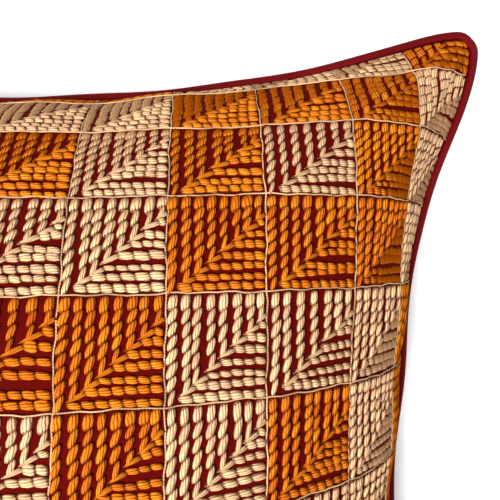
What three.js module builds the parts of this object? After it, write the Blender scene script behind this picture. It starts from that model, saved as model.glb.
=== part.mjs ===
// Square cushion in an embroidered cover, lying on its back with the worked face up.
// Millimetres, +Z up, +X and +Y along the sides, the rest surface at z = 0.
import * as THREE from 'three';

// Cover and filling
const FLAT_HALF = 225;        // half of the cover's side with the cloth laid flat
const FACE_RISE = 84;         // crown of the worked face over the seam
const FACE_FULLNESS = 2.78;   // higher keeps the face level further out, then drops it faster
const FACE_BLEND = 2.58;      // how squarely the two directions of the crown meet
const CORNER_DROP = 0.75;     // share of the height lost out at the corners
const CORNER_DROP_POWER = 6;
const BACK_RISE = 62;         // crown the back would have if nothing pressed on it
const REST_DEPTH = 42;        // seam height over the surface the back is flattened against
const REST_EASE = 12;         // rounding between the flattened patch and the sides
const REST_CELLS = 7;         // cells from the middle to the edge of the patch that rests
const REST_EDGE_LIFT = 0.8;   // how clear the cloth round that patch comes of the surface
const REST_EDGE_REACH = 9;
const CORNER_RADIUS = 5.5;    // rounded turn of the seam at each corner
const CORNER_ROUND_POWER = 8; // how soon the rounding fades towards the middle
const EAR_PUSH = 1.9;         // how far the filling pushes a corner out along both sides
const EAR_REACH = 30;         // distance from the corner where that push has faded

// Cloth that is a little too long for the seam it is sewn to
const SEAM_WAVES = [
  { side: 'right', length: 115, peak: 82, sway: 0.9, rise: 0.3 },
  { side: 'top', length: 250, peak: 130, sway: 1.6, rise: 0.3 },
  { side: 'left', length: 170, peak: -60, sway: 1.1, rise: 0.7 },
  { side: 'bottom', length: 140, peak: 20, sway: 1.3, rise: 0.5 },
];
const SEAM_RIPPLE = { length: 61, sway: 0.2, rise: 0.5 };
const SEAM_WAVE_REACH = 34;   // how far in from the seam its waves are felt
const PUCKERS = [
  { length: 62, depth: 0.7, phase: 1.1 },
  { length: 43, depth: 0.45, phase: 3.9 },
];
const PUCKER_REACH = 15;      // distance from the seam where the puckers are deepest
const CORNER_FOLDS = [
  { turn: -21, width: 7, depth: 1.7, reach: 46 },
  { turn: 3, width: 6, depth: 1.3, reach: 38 },
  { turn: 24, width: 8, depth: 1.9, reach: 52 },
];
const SIDE_NAMES = ['right', 'top', 'left', 'bottom'];
const SIDE_PHASE = 1.7;       // each side and each face starts its waves somewhere else
const BACK_PHASE = 2.9;

// Piping sewn into the seam
const PIPING_RADIUS = 1.7;
const PIPING_CLEARANCE = 0.45;
const PIPING_SIDES = 8;

// Grid over the flat cover: cells from the middle to the seam, and finer steps between them
const CELLS_PER_HALF = 22;
const STEPS_PER_CELL = 4;
const CORNER_CELLS = 3;       // cells before a corner where the piping takes half steps
const SEAM_CROWDING = 0.75;   // share of the spacing that tightens towards the seam
const LEVELLING_PASSES = 6;
const LEAST_STRETCH = 0.05;   // least share of a step that stays level on a steep wall

const FACE_CLOTH = { color: 0x6e1620, roughness: 0.9, metalness: 0 };
const PIPING_CLOTH = { color: 0x861a26, roughness: 0.75, metalness: 0 };

// Flat distance from the middle of step i, as a share of the half side
function gridShare(i, steps) {
  const share = i / steps;
  return (1 - SEAM_CROWDING) * share + SEAM_CROWDING * Math.sin(share * Math.PI / 2);
}

// Crown of the face as a share of its rise; a and b are flat shares from 0 to 1
function crown(a, b) {
  const across = Math.max(1 - a ** FACE_FULLNESS, 1e-6);
  const along = Math.max(1 - b ** FACE_FULLNESS, 1e-6);
  const met = (across ** -FACE_BLEND + along ** -FACE_BLEND - 1) ** (-1 / FACE_BLEND);
  return met * (1 - CORNER_DROP * (a * b) ** CORNER_DROP_POWER);
}

// One quarter of the filled face. The cloth keeps its length, so every step that climbs
// or is pushed sideways covers less ground, and the sides are drawn in by themselves.
function quarterFace() {
  const steps = CELLS_PER_HALF * STEPS_PER_CELL;
  const share = Array.from({ length: steps + 1 }, (_, i) => gridShare(i, steps));
  const table = (fill) => share.map((a) => share.map((b) => fill(a, b)));
  const z = table((a, b) => FACE_RISE * crown(a, b));
  let x = table((a) => FLAT_HALF * a);
  let y = table((a, b) => FLAT_HALF * b);
  const level = (flat, climb, push) => {
    const left = flat * flat - climb * climb - push * push;
    return Math.sqrt(Math.max(left, (LEAST_STRETCH * flat) ** 2));
  };
  for (let pass = 0; pass < LEVELLING_PASSES; pass += 1) {
    const nextX = table(() => 0);
    const nextY = table(() => 0);
    for (let i = 1; i <= steps; i += 1) {
      const flat = FLAT_HALF * (share[i] - share[i - 1]);
      for (let k = 0; k <= steps; k += 1) {
        const push = y[i][k] - y[i - 1][k];
        nextX[i][k] = nextX[i - 1][k] + level(flat, z[i][k] - z[i - 1][k], push);
      }
    }
    for (let k = 1; k <= steps; k += 1) {
      const flat = FLAT_HALF * (share[k] - share[k - 1]);
      for (let i = 0; i <= steps; i += 1) {
        const push = x[i][k] - x[i][k - 1];
        nextY[i][k] = nextY[i][k - 1] + level(flat, z[i][k] - z[i][k - 1], push);
      }
    }
    x = nextX;
    y = nextY;
  }
  return { share, x, y, z };
}

// How far the rounded corner draws a point of the flat square in, as shares of the half side
function cornerDraw(a, b) {
  const ring = Math.max(a, b);
  if (ring === 0) {
    return [0, 0];
  }
  const radius = CORNER_RADIUS / FLAT_HALF * ring ** CORNER_ROUND_POWER;
  const along = Math.min(a, b) / ring;
  const past = (along - (1 - radius)) / radius;
  if (past <= 0) {
    return [0, 0];
  }
  const turn = past * Math.PI / 4;
  const lead = ring * (1 - radius + radius * Math.cos(turn));
  const trail = ring * (1 - radius + radius * Math.sin(turn));
  return a >= b ? [a - lead, b - trail] : [a - trail, b - lead];
}

// Soft lesser of a height and a limit: exactly the limit once the height is well past it
function pressed(height, limit, ease) {
  const mix = Math.min(Math.max(0.5 + 0.5 * (height - limit) / ease, 0), 1);
  return height * (1 - mix) + limit * mix - ease * mix * (1 - mix);
}

// Nearest seam to a point of the flat cover: distance in, place along it, side number, and
// a fade that ends on the diagonals, so that neighbouring sides agree there
function nearestSeam(a, b) {
  const onEnds = Math.abs(a) >= Math.abs(b);
  const out = onEnds ? Math.abs(a) : Math.abs(b);
  const along = onEnds ? b : a;
  const side = onEnds ? (a > 0 ? 0 : 2) : (b > 0 ? 1 : 3);
  const fade = 1 - (Math.abs(along) / (out || 1)) ** 6;
  return { inward: FLAT_HALF * (1 - out), along: FLAT_HALF * along, side, fade };
}

// How far the seam has swayed outwards or risen, by the column asked for
function seamWave(a, b, column) {
  const seam = nearestSeam(a, b);
  const wave = SEAM_WAVES.find((row) => row.side === SIDE_NAMES[seam.side]);
  const ripple = 2 * Math.PI * seam.along / SEAM_RIPPLE.length + SIDE_PHASE * seam.side;
  const sum = wave[column] * Math.cos(2 * Math.PI * (seam.along - wave.peak) / wave.length)
    + SEAM_RIPPLE[column] * Math.sin(ripple);
  return sum * seam.fade * Math.exp(-((seam.inward / SEAM_WAVE_REACH) ** 2));
}

// Dents of one face below its smooth crown: puckers along the seams, folds at the corners
function dent(a, b, facePhase) {
  const seam = nearestSeam(a, b);
  const near = seam.inward / PUCKER_REACH;
  let sum = 0;
  for (const pucker of PUCKERS) {
    const turn = 2 * Math.PI * seam.along / pucker.length + pucker.phase;
    const wave = Math.cos(turn + SIDE_PHASE * seam.side + facePhase) - 1;
    sum += pucker.depth * wave * seam.fade * near * Math.exp(1 - near);
  }
  const left = FLAT_HALF * (1 - Math.abs(a));
  const down = FLAT_HALF * (1 - Math.abs(b));
  const reach = Math.hypot(left, down);
  const angle = THREE.MathUtils.radToDeg(Math.atan2(down, left)) - 45;
  for (const fold of CORNER_FOLDS) {
    const off = (angle - fold.turn * Math.sign(a * b || 1)) / fold.width;
    const run = reach / fold.reach;
    const fade = Math.min(left, down) / (Math.min(left, down) + CORNER_RADIUS / 2);
    sum -= fold.depth * Math.exp(-off * off) * run * Math.exp(1 - run) * fade;
  }
  return sum;
}

// Depth of the back under the seam, by its ring of steps and the height of the face there
function backDepth(quarter, ring, up) {
  const restRing = REST_CELLS * STEPS_PER_CELL;
  if (ring <= restRing) {
    return REST_DEPTH;
  }
  const past = FLAT_HALF * (quarter.share[ring] - quarter.share[restRing]);
  const lift = REST_EDGE_LIFT * (1 - Math.exp(-past / REST_EDGE_REACH));
  const free = pressed(BACK_RISE * up / FACE_RISE, REST_DEPTH, REST_EASE);
  return Math.max(free - lift * free / REST_DEPTH, 0);
}

// One point of a smooth face by its signed step numbers from the middle
function smoothPoint(quarter, i, k, name) {
  const qi = Math.abs(i);
  const qk = Math.abs(k);
  const [drawA, drawB] = cornerDraw(quarter.share[qi], quarter.share[qk]);
  const away = FLAT_HALF * Math.hypot(1 - quarter.share[qi], 1 - quarter.share[qk]);
  const ear = EAR_PUSH * Math.exp(-((away / EAR_REACH) ** 2));
  const x = Math.sign(i) * (quarter.x[qi][qk] - FLAT_HALF * drawA + ear);
  const y = Math.sign(k) * (quarter.y[qi][qk] - FLAT_HALF * drawB + ear);
  const up = quarter.z[qi][qk];
  if (name === 'face') {
    return new THREE.Vector3(x, y, REST_DEPTH + up);
  }
  return new THREE.Vector3(x, y, REST_DEPTH - backDepth(quarter, Math.max(qi, qk), up));
}

// The same point with the dents and seam waves of real cloth; the seam itself has no dents,
// so that both faces meet on it, and the part of the back that rests stays level
function clothPoint(quarter, i, k, name) {
  const steps = quarter.share.length - 1;
  const point = smoothPoint(quarter, i, k, name);
  const a = Math.sign(i) * quarter.share[Math.abs(i)];
  const b = Math.sign(k) * quarter.share[Math.abs(k)];
  if (name === 'back' && point.z < 1e-6) {
    return point;
  }
  if (Math.abs(i) < steps && Math.abs(k) < steps) {
    const eastward = smoothPoint(quarter, i + 1, k, name).sub(smoothPoint(quarter, i - 1, k, name));
    const northward = smoothPoint(quarter, i, k + 1, name).sub(smoothPoint(quarter, i, k - 1, name));
    const normal = eastward.cross(northward).normalize();
    const faceUp = name === 'face';
    const held = faceUp ? 1 : Math.min(point.z / REST_EASE, 1);
    const depth = dent(a, b, faceUp ? 0 : BACK_PHASE) * held;
    point.addScaledVector(normal, faceUp ? depth : -depth);
  }
  const onEnds = Math.abs(a) >= Math.abs(b);
  const outward = new THREE.Vector3(onEnds ? Math.sign(a) : 0, onEnds ? 0 : Math.sign(b), 0);
  point.addScaledVector(outward, seamWave(a, b, 'sway'));
  point.z += seamWave(a, b, 'rise');
  return point;
}

// Step numbers along one side, with half steps next to the corners if they are asked for
function sideSteps(finerCorners) {
  const steps = [];
  const last = CELLS_PER_HALF * STEPS_PER_CELL;
  for (let i = -last; i < last; i += STEPS_PER_CELL) {
    steps.push(i);
    const fromCorner = Math.min(i + last, last - i - STEPS_PER_CELL);
    if (finerCorners && fromCorner < CORNER_CELLS * STEPS_PER_CELL) {
      steps.push(i + STEPS_PER_CELL / 2);
    }
  }
  return steps;
}

// Points round the seam, counter-clockwise from above
function seamLoop(quarter) {
  const last = CELLS_PER_HALF * STEPS_PER_CELL;
  const steps = sideSteps(true);
  const corners = [
    steps.map((n) => [last, n]),
    steps.map((n) => [-n, last]),
    steps.map((n) => [-last, -n]),
    steps.map((n) => [n, -last]),
  ];
  return corners.flat().map(([i, k]) => clothPoint(quarter, i, k, 'face'));
}

function solid(name, points, triangles, cloth) {
  const geometry = new THREE.BufferGeometry();
  const flatList = new Float32Array(points.flatMap((p) => [p.x, p.y, p.z]));
  geometry.setAttribute('position', new THREE.BufferAttribute(flatList, 3));
  geometry.setIndex(triangles);
  geometry.computeVertexNormals();
  const mesh = new THREE.Mesh(geometry, new THREE.MeshStandardMaterial(cloth));
  mesh.name = name;
  return mesh;
}

// The filled cover as one closed body
function cushionSolid(quarter) {
  const steps = [...sideSteps(false), CELLS_PER_HALF * STEPS_PER_CELL];
  const cells = steps.length - 1;
  const points = [];
  const number = new Map();
  const index = (name, i, k) => {
    const onSeam = i === 0 || k === 0 || i === cells || k === cells;
    const key = `${onSeam ? 'seam' : name} ${i} ${k}`;
    if (!number.has(key)) {
      number.set(key, points.length);
      points.push(clothPoint(quarter, steps[i], steps[k], onSeam ? 'face' : name));
    }
    return number.get(key);
  };
  const triangles = [];
  for (const name of ['face', 'back']) {
    for (let i = 0; i < cells; i += 1) {
      for (let k = 0; k < cells; k += 1) {
        const p = index(name, i, k);
        const q = index(name, i + 1, k);
        const r = index(name, i + 1, k + 1);
        const s = index(name, i, k + 1);
        // The short diagonal runs across the corner, so the rounded turn keeps its shape
        const rising = (i < cells / 2) === (k < cells / 2);
        const split = rising ? [p, q, s, q, r, s] : [p, q, r, p, r, s];
        if (name === 'back') {
          split.reverse();
        }
        triangles.push(...split);
      }
    }
  }
  return solid('cushion', points, triangles, FACE_CLOTH);
}

// Cord of piping round the seam as one closed loop
function pipingSolid(quarter) {
  const seam = seamLoop(quarter);
  const count = seam.length;
  const points = [];
  const triangles = [];
  const offset = PIPING_RADIUS + PIPING_CLEARANCE;
  for (let i = 0; i < count; i += 1) {
    const ahead = seam[(i + 1) % count];
    const behind = seam[(i + count - 1) % count];
    const run = ahead.clone().sub(behind).normalize();
    const outward = new THREE.Vector3(run.y, -run.x, 0).normalize();
    const upward = outward.clone().cross(run).normalize();
    const middle = seam[i].clone().addScaledVector(outward, offset);
    for (let s = 0; s < PIPING_SIDES; s += 1) {
      const turn = 2 * Math.PI * (s + 0.5) / PIPING_SIDES;
      points.push(middle.clone()
        .addScaledVector(outward, PIPING_RADIUS * Math.cos(turn))
        .addScaledVector(upward, PIPING_RADIUS * Math.sin(turn)));
      const here = i * PIPING_SIDES + s;
      const beside = i * PIPING_SIDES + (s + 1) % PIPING_SIDES;
      const next = ((i + 1) % count) * PIPING_SIDES + s;
      const nextBeside = ((i + 1) % count) * PIPING_SIDES + (s + 1) % PIPING_SIDES;
      triangles.push(here, nextBeside, beside, here, next, nextBeside);
    }
  }
  return solid('piping', points, triangles, PIPING_CLOTH);
}

const quarter = quarterFace();
const group = new THREE.Group();
group.name = 'embroidered_cushion';
group.add(cushionSolid(quarter), pipingSolid(quarter));

export default group;
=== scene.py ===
"""Looks of a square embroidered cushion that lies on its back with the worked face up.

The cover is dark red cotton with piping in its seam. Its face is worked in squares of
orange and cream yarn: ropes of stem stitch stand over the diagonal of each square and
rows of it lie under, and a thin thread is couched along every line between the squares.
Lengths are in metres. +Z is up, +X and +Y run along the sides.
"""

import math

import bpy
import numpy as np
from bpy.props import FloatProperty, FloatVectorProperty, IntProperty, PointerProperty
from mathutils import Matrix, Vector


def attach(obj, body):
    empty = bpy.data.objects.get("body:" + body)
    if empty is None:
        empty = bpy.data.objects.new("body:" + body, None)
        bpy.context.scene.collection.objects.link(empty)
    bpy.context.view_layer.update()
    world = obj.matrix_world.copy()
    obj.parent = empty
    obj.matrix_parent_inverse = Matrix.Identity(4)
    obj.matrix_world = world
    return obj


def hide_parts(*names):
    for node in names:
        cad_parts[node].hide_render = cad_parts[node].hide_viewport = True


bl_info = {
    "name": "Embroidered cushion",
    "version": (1, 0, 0),
    "blender": (4, 5, 0),
    "location": "3D View > Sidebar > Cushion",
    "description": "Square cushion worked in orange and cream squares, with a piped seam",
    "category": "Add Mesh",
}

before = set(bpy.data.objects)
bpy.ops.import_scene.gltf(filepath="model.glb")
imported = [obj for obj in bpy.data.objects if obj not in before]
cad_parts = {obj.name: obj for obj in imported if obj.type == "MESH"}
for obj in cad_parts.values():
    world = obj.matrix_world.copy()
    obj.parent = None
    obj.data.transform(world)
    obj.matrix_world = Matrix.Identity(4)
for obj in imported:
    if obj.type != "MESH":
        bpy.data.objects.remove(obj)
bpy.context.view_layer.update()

# Steps and shape of the filled cover
STEPS_PER_HALF = 88  # steps from the middle of the cover to its seam
MESH_STRIDE = 2  # the mesh takes every second step
SEAM_CROWDING = 0.75  # how strongly the steps crowd toward the seam
LEVELLING_PASSES = 6  # passes that settle the cloth's length along both directions
LEAST_STRETCH = 0.05  # share of a step that even the steepest cloth keeps level
LEAST_CROWN = 1e-6  # keeps the crown's powers finite at the seam
CORNER_DROP_POWER = 6
CORNER_ROUND_POWER = 8
FADE_POWER = 6  # how near to the diagonals waves and puckers keep their size
EAR_PUSH = 0.0019  # how far the filling pushes a corner out along both sides
EAR_REACH = 0.030  # distance from the corner where a third of that push is left
REST_RING = 28  # ring of steps where the flattened patch ends
REST_EDGE_LIFT = 0.0008  # how far the back lifts off the rest surface past the patch
REST_EDGE_REACH = 0.009
RESTING = 1e-6  # height under which the back lies on the rest surface
TINY = 1e-12  # keeps divisions finite

# Waves of each side's seam: their length along it, the place of a peak, and their sway and rise
SIDES = ("right", "top", "left", "bottom")
SEAM_WAVES = {
    "right": {"length": 0.115, "peak": 0.082, "sway": 0.0009, "rise": 0.0003},
    "top": {"length": 0.250, "peak": 0.130, "sway": 0.0016, "rise": 0.0003},
    "left": {"length": 0.170, "peak": -0.060, "sway": 0.0011, "rise": 0.0007},
    "bottom": {"length": 0.140, "peak": 0.020, "sway": 0.0013, "rise": 0.0005},
}
SEAM_RIPPLE = {"length": 0.061, "sway": 0.0002, "rise": 0.0005}
SEAM_WAVE_REACH = 0.034

# Puckers along the seams, and folds that run out of the corners, turned from the diagonal in degrees
PUCKERS = (
    {"length": 0.062, "depth": 0.0007, "phase": 1.1},
    {"length": 0.043, "depth": 0.00045, "phase": 3.9},
)
PUCKER_REACH = 0.015
CORNER_FOLDS = (
    {"turn": -21, "width": 7, "depth": 0.0017, "reach": 0.046},
    {"turn": 3, "width": 6, "depth": 0.0013, "reach": 0.038},
    {"turn": 24, "width": 8, "depth": 0.0019, "reach": 0.052},
)
SIDE_PHASE = 1.7  # turn of ripple and puckers from one side to the next
BACK_PHASE = 2.9  # turn of the back's puckers from the face's

# Lines between the squares: shifts from an even spacing, as shares of a square
COLUMN_SHIFTS = (
    -0.02, -0.06, -0.06, 0.02, 0.01, -0.03, 0.02, -0.02, 0.03, 0.0, -0.03, 0.02, 0.03, -0.02, 0.0, 0.0)
ROW_SHIFTS = (
    0.0, 0.0, -0.14, -0.2, -0.19, -0.17, -0.13, -0.1, -0.08, -0.05, -0.07, -0.03, 0.0, -0.02, 0.0, 0.0, 0.0)
FIRST_ROW = -0.5  # place of the first line, half a square past the top seam
COLUMN_LEAN = 0.027  # lean of the lines, in squares for each square along them
ROW_LEAN = 0.010
BLOCK = 3  # squares along the side of a ring of one colour with its middle

# Rows of stitches in a square: places in gaps between its ropes, limits as shares of its side
FEWER_ROPES = 0.25  # share of the squares that have one rope less
FIRST_ROPE = 0.47  # place of the first rope
LOWEST_ROW = 0.45  # least height of a row
ROPE_UNDER_ROW = 0.42  # how far a rope's foot reaches under its row
LOWEST_FOOT = 0.01
FIRST_ROW_ROOM = 0.4  # room under the lowest row, past the square's foot
ROW_FILL = 0.88  # most of the room to the next row that a row takes up
ROW_INSETS = (0.55, 0.75)  # where the lowest row and the others start, past their ropes
ROW_START_LIMIT = 0.995
EDGE_GAPS = {"upright": 0.0007, "level": 0.0006}  # metres left bare at the ends of the runs
OVERLAPS = {"upright": 1.08, "level": 1.02}  # length of a stitch as a share of its step
LEAST_RUN = 0.3  # a run shorter than this share of a step is left out
FOOT_WIDTH = 0.75  # width of a rope's first stitch as a share of the others'
LINK = {"back": 0.55, "under": 0.62, "out": 0.80, "below": 0.02, "limit": 0.99}  # ends of a link
LINK_SIZE = {"width": 0.52, "length": 1.05, "height": 0.95}
LINK_TONE = 0.03

# Errors of the hand: how widely each place, size or tone is spread
HAND = {
    "rope": 0.05, "row": 0.04, "mitre": 0.03, "foot": 0.06, "row_end": 0.12, "pace": 0.06,
    "rope_width": 0.06, "row_width": 0.10, "stitch_width": 0.06, "stitch_height": 0.08,
    "square_tone": 0.03, "stitch_tone": 0.06, "bow": 0.00022, "aside": 0.00007,
}

# Trimming at the seam, and how far in from it stitches lie flatter or spread into smooth bands
STITCH_MARGIN = 0.0003
TRIM_SAMPLES = 9
LEAST_LEFT = 0.35  # share of a stitch that has to be left inside the seam
SEAM_REACH = 0.035
SEAM_FLATTENING = 0.35
SLOPE_FLAT_FROM = 0.030
SLOPE_FLAT_TO = 0.075
SLOPE_FLATTENING = 0.35
BAND_REACH = 0.046
SPREAD_REACH = 0.050
SLOPE_SPREAD = 0.20

# Forms of a stitch, a unit wide, long and high: width at the tips, shift of the tips, bevel of
# the tips, how much thinner it starts than it ends, and how much lower its ends lie
STITCH_ALONG = (-1.0, -0.78, 0.0, 0.78, 1.0)
STITCH_ACROSS = ((-1.0, -0.25), (-0.7, 0.72), (0.0, 1.0), (0.7, 0.72), (1.0, -0.25))
STITCH_BULGE = 0.12  # how much longer a stitch is along its middle
FORMS = {
    "Leaf": {"ends": 0.50, "lean": 0.22, "slant": 0.52, "taper": 0.0, "drop": 0.75},
    "Block": {"ends": 0.68, "lean": 0.05, "slant": 0.24, "taper": 0.0, "drop": 0.75},
    "Tail": {"ends": 0.55, "lean": 0.0, "slant": 0.1, "taper": 0.45, "drop": 0.75},
    "Band": {"ends": 0.92, "lean": 0.04, "slant": 0.30, "taper": 0.0, "drop": 0.15},
}
FORM_NUMBERS = {name: number for number, name in enumerate(FORMS)}

# Looks of each yarn: the painted shade of the slits between its strands, the painted highlight of
# its crests as a share of its own colour, and the deep colour of the painted sheen it shows end on.
# The orange uprights' slits and crests are painted darker than the level rows': painted shade for
# how their yarn lies to the light
YARNS = {
    "orange_upright": {"painted_slit_shade": (0.38, 0.055, 0.002), "lit": 0.87, "deep": (0.34, 0.070, 0.002)},
    "orange_level": {"painted_slit_shade": (0.42, 0.065, 0.002), "lit": 0.93, "deep": (0.34, 0.070, 0.002)},
    "cream_upright": {"painted_slit_shade": (0.52, 0.27, 0.13), "lit": 1.02, "deep": (0.44, 0.235, 0.115)},
    "cream_level": {"painted_slit_shade": (0.52, 0.26, 0.12), "lit": 1.02, "deep": (0.44, 0.235, 0.115)},
}
TONE_SPREAD = 91.0  # turns a stitch's tone into a place of its own in the noise
RAGGED_TIPS = (0.46, 0.86)  # where the split ends of a stitch begin to close and are closed
SOFT_RIMS = (0.14, 0.42)  # the same for its long sides
PAINTED_SHEEN_SPAN = (0.20, 0.62)  # painted sheen: how nearly end on yarn starts to be painted deep and is painted deep
TONE_TO_HUE = 0.06
PAINTED_SHADE_ON_SPLIT_GROUND = 0.6  # brightness of the ground that shows between split ends: it is darkened by painted shade

# Couched thread
THREAD_SEED = 5  # added to the seed of the stitches
THREAD_WAVES = (0.0015, 0.0028, 0.0061)  # metres in which each wave turns by a radian
THREAD_WAVE_SUM = 1.6  # size of the waves together that counts as the full sway
THREAD_MARGIN = 0.0009
THREAD_HEIGHTS = {"column": 0.9, "row": 1.7}  # in radii, as the rows cross over the columns

# Studio
FLOOR_HALF = 3
FLOOR_DROP = 0.0004
FLOOR_GLOW = 0.3
AIR_GLOW = 0.3
WHITE = (1, 1, 1, 1)
LIGHTS = (
    {"name": "key", "place": (-0.48, -0.33, 1.30), "size": 0.5, "power": 39.5},
    {"name": "fill", "place": (-1.2, 0.6, 0.9), "size": 1.2, "power": 3.0},
)
LIGHT_TARGET = (0.05, 0.05, 0.05)


# Settings

def length_property(name, description, default):
    return FloatProperty(name=name, description=description, default=default, unit="LENGTH")


def angle_property(name, description, default):
    return FloatProperty(name=name, description=description, default=default, unit="ROTATION")


def share_property(name, description, default):
    return FloatProperty(name=name, description=description, default=default, subtype="FACTOR")


def colour_property(name, description, default):
    return FloatVectorProperty(name=name, description=description, default=default, subtype="COLOR")


class CoverSettings(bpy.types.PropertyGroup):
    flat_side: length_property("Flat side", "Side of the cover laid flat, seam to seam", 0.45)
    face_rise: length_property("Face rise", "Crown of the face over the seam", 0.084)
    fullness: FloatProperty(name="Fullness", description="How far out the crown stays level", default=2.78)
    blend: FloatProperty(
        name="Blend", description="How squarely the crown's two directions meet", default=2.58)
    corner_drop: share_property("Corner drop", "Share of the height lost at the corners", 0.75)
    back_rise: length_property("Back rise", "Crown of the back if nothing pressed on it", 0.062)
    rest_depth: length_property("Rest depth", "Height of the seam over the rest surface", 0.042)
    rest_ease: length_property("Rest ease", "Rounding round the flattened patch", 0.012)
    corner_radius: length_property("Corner radius", "Rounded turn of the seam", 0.0055)
    cloth: colour_property("Cloth", "Colour of the ground cloth", (0.100, 0.0022, 0.0012))


class PipingSettings(bpy.types.PropertyGroup):
    radius: length_property("Radius", "Radius of the piping", 0.0017)
    nest: length_property("Nest", "How far the piping sits into the seam", 0.0003)
    sides: IntProperty(name="Sides", description="Flats round the piping", default=12)
    cloth: colour_property("Cloth", "Colour of the piping", (0.130, 0.0016, 0.0032))


class EmbroiderySettings(bpy.types.PropertyGroup):
    squares: IntProperty(name="Squares", description="Squares from seam to seam", default=14)
    ropes: IntProperty(name="Ropes", description="Ropes of stitches in most squares", default=8)
    upright_step: length_property("Upright step", "Spacing of stitches in a standing rope", 0.0042)
    level_step: length_property("Level step", "Spacing of stitches in a lying row", 0.0038)
    upright_width: length_property("Upright width", "Width of a standing rope", 0.0035)
    level_width: length_property("Level width", "Width of a lying row", 0.0033)
    mitre: share_property("Mitre", "Height of a row as a share of its rope's place", 0.86)
    yarn_height: length_property("Yarn height", "How far a stitch stands off the cloth", 0.0012)
    seed: IntProperty(name="Seed", description="Start of the hand's small errors", default=11)
    orange: colour_property("Orange", "Orange yarn", (0.86, 0.240, 0.018))
    cream: colour_property("Cream", "Cream yarn", (0.84, 0.52, 0.29))


class CouchingSettings(bpy.types.PropertyGroup):
    radius: length_property("Radius", "Radius of the couched thread", 0.00027)
    sway: length_property("Sway", "How far the thread wanders off its line", 0.0003)
    step: length_property("Step", "Length of a segment of the thread", 0.003)
    sides: IntProperty(name="Sides", description="Flats round the thread", default=5)
    thread: colour_property("Thread", "Colour of the thread", (0.80, 0.49, 0.26))


class StudioSettings(bpy.types.PropertyGroup):
    floor: colour_property("Floor", "Colour of the floor", (0.95, 0.95, 0.95))
    camera_place: FloatVectorProperty(
        name="Camera place", description="Where the camera stands",
        default=(0.1129, 0.1301, 0.2711), subtype="XYZ", unit="LENGTH")
    camera_pitch: angle_property("Camera pitch", "Tilt of the camera about X", 0.0)
    camera_yaw: angle_property("Camera yaw", "Tilt of the camera about Y", -0.067)
    camera_roll: angle_property("Camera roll", "Turn of the camera about its own axis", 0.015)
    lens: FloatProperty(
        name="Lens", description="Focal length on a 36 mm sensor, in millimetres", default=38.9)


class CushionSettings(bpy.types.PropertyGroup):
    cover: PointerProperty(type=CoverSettings)
    piping: PointerProperty(type=PipingSettings)
    embroidery: PointerProperty(type=EmbroiderySettings)
    couching: PointerProperty(type=CouchingSettings)
    studio: PointerProperty(type=StudioSettings)


# Form of the cover

def quarter_face(cover):
    """One quarter of the filled face: the cloth keeps its length, so its sides draw in."""
    half = cover.flat_side / 2
    share = np.linspace(0, 1, STEPS_PER_HALF + 1)
    share = (1 - SEAM_CROWDING) * share + SEAM_CROWDING * np.sin(share * math.pi / 2)
    a, b = np.meshgrid(share, share, indexing="ij")
    across = np.maximum(1 - a ** cover.fullness, LEAST_CROWN) ** -cover.blend
    along = np.maximum(1 - b ** cover.fullness, LEAST_CROWN) ** -cover.blend
    z = cover.face_rise * (across + along - 1) ** (-1 / cover.blend)
    z *= 1 - cover.corner_drop * (a * b) ** CORNER_DROP_POWER
    x, y = half * a, half * b
    flat = half * np.diff(share)

    def level(climb, push, flat):
        return np.sqrt(np.maximum(flat ** 2 - climb ** 2 - push ** 2, (LEAST_STRETCH * flat) ** 2))

    for _ in range(LEVELLING_PASSES):
        next_x, next_y = np.zeros_like(x), np.zeros_like(y)
        next_x[1:] = np.cumsum(level(np.diff(z, axis=0), np.diff(y, axis=0), flat[:, None]), axis=0)
        next_y[:, 1:] = np.cumsum(level(np.diff(z, axis=1), np.diff(x, axis=1), flat[None]), axis=1)
        x, y = next_x, next_y
    return share, x, y, z


def corner_draw(cover, a, b):
    """How far the rounded corners draw the flat square in, as shares of its half side."""
    ring = np.maximum(np.maximum(a, b), TINY)
    radius = 2 * cover.corner_radius / cover.flat_side * ring ** CORNER_ROUND_POWER
    along = np.minimum(a, b) / ring
    turn = np.maximum((along - (1 - radius)) / radius, 0) * math.pi / 4
    lead = np.where(turn > 0, ring * (1 - radius + radius * np.cos(turn)), ring)
    trail = np.where(turn > 0, ring * (1 - radius + radius * np.sin(turn)), ring * along)
    wide = a >= b
    return np.where(wide, a - lead, a - trail), np.where(wide, b - trail, b - lead)


def pressed(height, limit, ease):
    """Soft lesser of a height and a limit, exactly the limit once well past it."""
    mix = np.clip(0.5 + 0.5 * (height - limit) / ease, 0, 1)
    return height * (1 - mix) + limit * mix - ease * mix * (1 - mix)


def back_depth(cover, share, ring, up):
    """Depth of the back under the seam, by its ring of steps and the height of the face there."""
    past = cover.flat_side / 2 * (share[ring] - share[REST_RING])
    lift = REST_EDGE_LIFT * (1 - np.exp(-past / REST_EDGE_REACH))
    free = pressed(cover.back_rise * up / cover.face_rise, cover.rest_depth, cover.rest_ease)
    return np.where(ring <= REST_RING, cover.rest_depth, np.maximum(free - lift * free / cover.rest_depth, 0))


def nearest_seam(cover, a, b):
    """Distance in from the nearest seam, place along it, side number, and a fade to the diagonals."""
    half = cover.flat_side / 2
    on_ends = np.abs(a) >= np.abs(b)
    out = np.where(on_ends, np.abs(a), np.abs(b))
    along = np.where(on_ends, b, a)
    side = np.where(on_ends, np.where(a > 0, 0, 2), np.where(b > 0, 1, 3))
    fade = 1 - (np.abs(along) / np.maximum(out, TINY)) ** FADE_POWER
    return half * (1 - out), half * along, side, fade


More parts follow.
